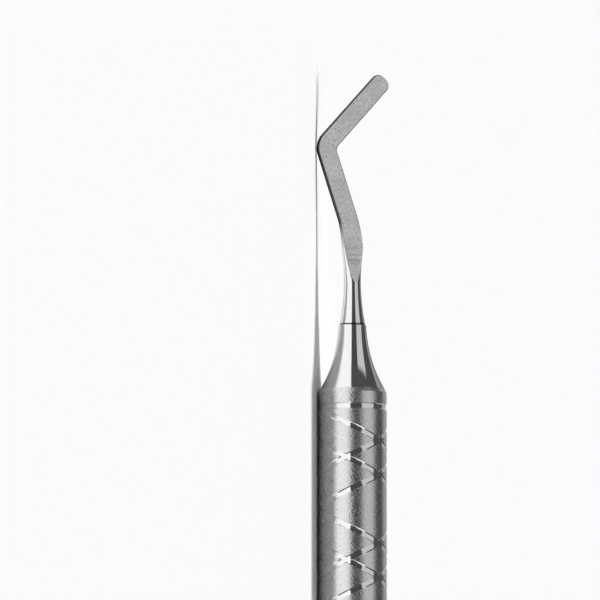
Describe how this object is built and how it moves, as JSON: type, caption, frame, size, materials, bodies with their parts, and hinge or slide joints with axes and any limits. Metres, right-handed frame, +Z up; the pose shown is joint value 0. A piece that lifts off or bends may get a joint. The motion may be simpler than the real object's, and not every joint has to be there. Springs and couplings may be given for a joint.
{
  "type": "periosteal elevator",
  "caption": "Slim steel hand instrument with a flat angled spatula tip on a turned shank and a round handle with crossing helical grip grooves.",
  "frame": {"origin": "on the table, under the middle of the whole elevator's bounding box", "axes": "+Y along the handle towards the tip, +Z up from the table, -X towards the side that the blade's flat face looks to, as the elevator lies on its handle and on the elbow of its tip"},
  "size_m": [0.01, 0.164, 0.0101],
  "materials": {
    "ground_steel": "flat faces finely ground, shank polished",
    "polished_steel": "mirror-polished stainless steel",
    "satin_steel": "fine satin blasted stainless steel with polished grooves"
  },
  "bodies": {
    "root": {"working_tip": "ground_steel", "nose_cone": "polished_steel", "handle_tube": "satin_steel", "end_plug": "polished_steel"}
  },
  "joints": []
}
